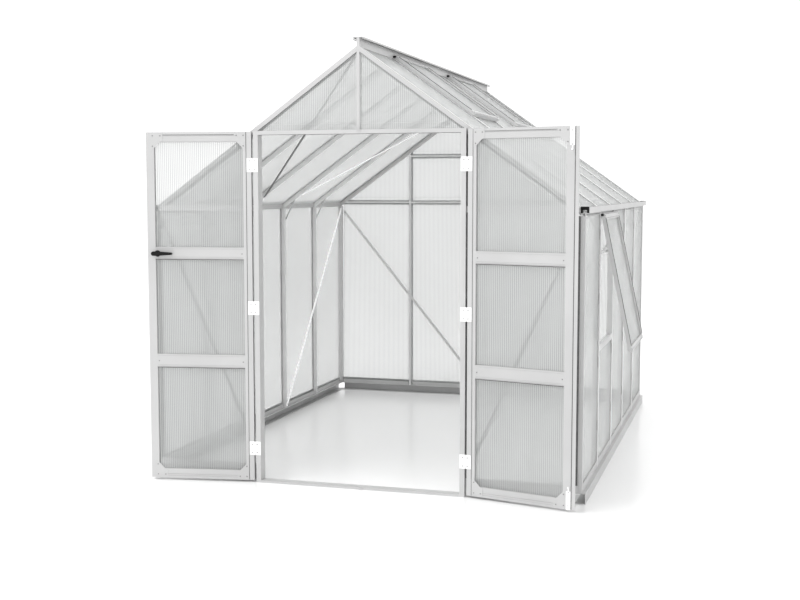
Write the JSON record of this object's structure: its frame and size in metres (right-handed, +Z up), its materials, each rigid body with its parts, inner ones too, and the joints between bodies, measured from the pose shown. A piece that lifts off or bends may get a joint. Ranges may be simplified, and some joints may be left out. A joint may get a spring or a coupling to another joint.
{
  "type": "walk-in greenhouse",
  "caption": "Walk-in gable greenhouse of silver bars and twin-wall panels, with two swing doors, roof vents and a side window.",
  "frame": {"origin": "on the ground, at the middle of the front wall, under the door sill", "axes": "+Z up, +Y from the front wall into the house, +X to the right as seen from the front"},
  "size_m": [2.7096, 3.4575, 2.504],
  "materials": {
    "silver_aluminium": "satin",
    "galvanised_base": "matte",
    "twin_wall_glazing": "translucent",
    "white_fittings": "satin",
    "black_plastic": "matte",
    "zinc_steel": "satin"
  },
  "bodies": {
    "root": {"base_sides": "galvanised_base", "base_front": "galvanised_base", "base_back": "galvanised_base", "door_sill": "silver_aluminium", "corner_posts": "silver_aluminium", "side_posts_left": "silver_aluminium", "side_posts_right": "silver_aluminium", "door_jambs": "silver_aluminium", "door_header": "silver_aluminium", "king_post": "silver_aluminium", "back_posts": "silver_aluminium", "gable_rails": "silver_aluminium", "bottom_rails": "silver_aluminium", "eave_beams": "silver_aluminium", "gutter_end_caps": "black_plastic", "ridge_beam": "silver_aluminium", "rakes": "silver_aluminium", "rafters_left": "silver_aluminium", "rafters_right": "silver_aluminium", "vent_crossbars": "silver_aluminium", "window_sill_rail": "silver_aluminium", "wall_panels_left": "twin_wall_glazing", "wall_panels_right": "twin_wall_glazing", "front_gable_panels": "twin_wall_glazing", "back_gable_panels": "twin_wall_glazing", "roof_panels_left": "twin_wall_glazing", "roof_panels_right": "twin_wall_glazing", "wall_braces": "white_fittings", "roof_braces": "white_fittings", "knee_brackets": "galvanised_base", "glazing_clips": "zinc_steel", "stay_pegs": "zinc_steel", "jamb_hinge_plates": "white_fittings", "sash_hinge_brackets": "zinc_steel", "bolt_keepers": "silver_aluminium"},
    "left_door": {"left_door_stiles": "silver_aluminium", "left_door_rails": "silver_aluminium", "left_door_panels": "twin_wall_glazing", "left_door_corner_plates": "silver_aluminium", "left_door_hinge_plates": "white_fittings", "handle_roses": "black_plastic"},
    "handle": {"handle_levers": "black_plastic"},
    "right_door": {"right_door_stiles": "silver_aluminium", "right_door_rails": "silver_aluminium", "right_door_panels": "twin_wall_glazing", "right_door_corner_plates": "silver_aluminium", "right_door_hinge_plates": "white_fittings", "meeting_strip": "silver_aluminium", "bolt_cases": "white_fittings"},
    "top_bolt": {"top_bolt": "white_fittings"},
    "bottom_bolt": {"bottom_bolt": "white_fittings"},
    "front_vent": {"front_vent_sash": "silver_aluminium", "front_vent_panel": "twin_wall_glazing"},
    "front_vent_stay": {"front_vent_stay": "black_plastic"},
    "rear_vent": {"rear_vent_sash": "silver_aluminium", "rear_vent_panel": "twin_wall_glazing"},
    "rear_vent_stay": {"rear_vent_stay": "black_plastic"},
    "window": {"window_sash": "silver_aluminium", "window_panel": "twin_wall_glazing"},
    "window_stay": {"window_stay": "white_fittings"}
  },
  "joints": [
    {"name": "left_door_hinge", "type": "hinge", "parent": "root", "child": "left_door", "pos_m": [-0.618, -0.0295, 0], "axis": [0, 0, 1], "range_deg": [-5.3, 170.7]},
    {"name": "right_door_hinge", "type": "hinge", "parent": "root", "child": "right_door", "pos_m": [0.618, -0.0295, 0], "axis": [0, 0, -1], "range_deg": [-9.8, 166.2]},
    {"name": "handle_turn", "type": "hinge", "parent": "left_door", "child": "handle", "pos_m": [-1.16923, -0.11622, 1.312], "axis": [-0.1616, 0.9869, 0], "range_deg": [0, 40], "stiffness_Nm_per_rad": 0.6, "springref_deg": -22.92},
    {"name": "top_bolt_slide", "type": "slide", "parent": "right_door", "child": "top_bolt", "axis": [0, 0, 1], "range_m": [0, 0.015]},
    {"name": "bottom_bolt_slide", "type": "slide", "parent": "right_door", "child": "bottom_bolt", "axis": [0, 0, -1], "range_m": [0, 0.015]},
    {"name": "front_vent_hinge", "type": "hinge", "parent": "root", "child": "front_vent", "pos_m": [0.0205, 0.9765, 2.4607], "axis": [0, -1, 0], "range_deg": [0, 45]},
    {"name": "front_vent_stay_pivot", "type": "hinge", "parent": "front_vent", "child": "front_vent_stay", "pos_m": [0.44611, 0.9765, 2.13013], "axis": [0, -1, 0], "range_deg": [0, 85]},
    {"name": "rear_vent_hinge", "type": "hinge", "parent": "root", "child": "rear_vent", "pos_m": [0.0205, 2.2785, 2.4607], "axis": [0, -1, 0], "range_deg": [0, 45]},
    {"name": "rear_vent_stay_pivot", "type": "hinge", "parent": "rear_vent", "child": "rear_vent_stay", "pos_m": [0.44611, 2.2785, 2.13013], "axis": [0, -1, 0], "range_deg": [0, 85]},
    {"name": "window_hinge", "type": "hinge", "parent": "root", "child": "window", "pos_m": [1.2625, 0.9765, 1.53], "axis": [0, -1, 0], "range_deg": [-12, 33]},
    {"name": "window_stay_pivot", "type": "hinge", "parent": "window", "child": "window_stay", "pos_m": [1.28458, 0.685, 1.32511], "axis": [0, -1, 0], "range_deg": [-15, 60]}
  ]
}
